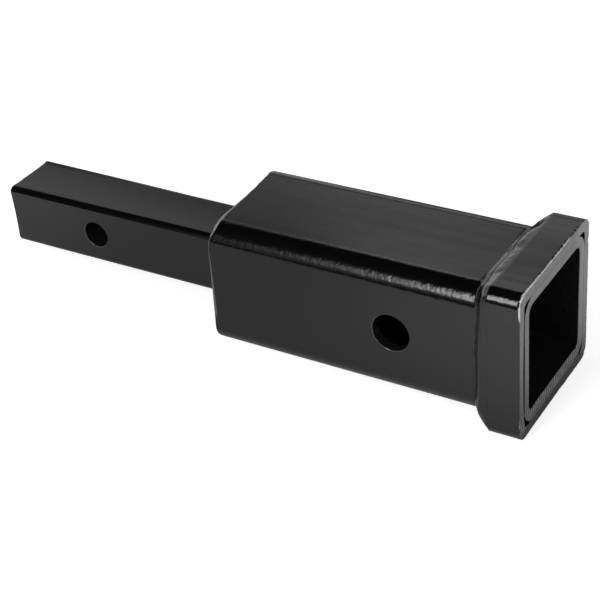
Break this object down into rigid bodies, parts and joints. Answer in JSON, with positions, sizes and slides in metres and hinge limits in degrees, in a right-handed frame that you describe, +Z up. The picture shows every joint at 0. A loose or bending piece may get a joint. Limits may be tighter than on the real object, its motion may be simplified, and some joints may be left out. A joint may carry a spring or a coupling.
{
  "type": "hitch receiver adapter",
  "caption": "Welded hitch adapter: a small square shank on a larger square receiver tube with a reinforced mouth and cross holes for hitch pins.",
  "frame": {"origin": "middle of the shank's pin hole, on the adapter's long axis", "axes": "+X along the adapter from the shank's free end to the receiver mouth, +Y along both pin holes, +Z up as the adapter sits in a hitch"},
  "size_m": [0.288, 0.0736, 0.0736],
  "materials": {
    "black_bar": "semi-gloss black powder coat on a solid steel bar",
    "black_tube": "semi-gloss black powder coat on steel tube",
    "black_plate": "semi-gloss black powder coat on steel plate",
    "black_collar": "semi-gloss black powder coat, worn along the front edge, over saw-cut steel",
    "black_weld": "glossy black powder coat on uneven weld metal"
  },
  "bodies": {
    "root": {"shank_bar": "black_bar", "receiver_tube": "black_tube", "back_plate": "black_plate", "mouth_collar": "black_collar", "collar_weld": "black_weld", "back_plate_weld": "black_weld", "shank_weld": "black_weld"}
  },
  "joints": []
}
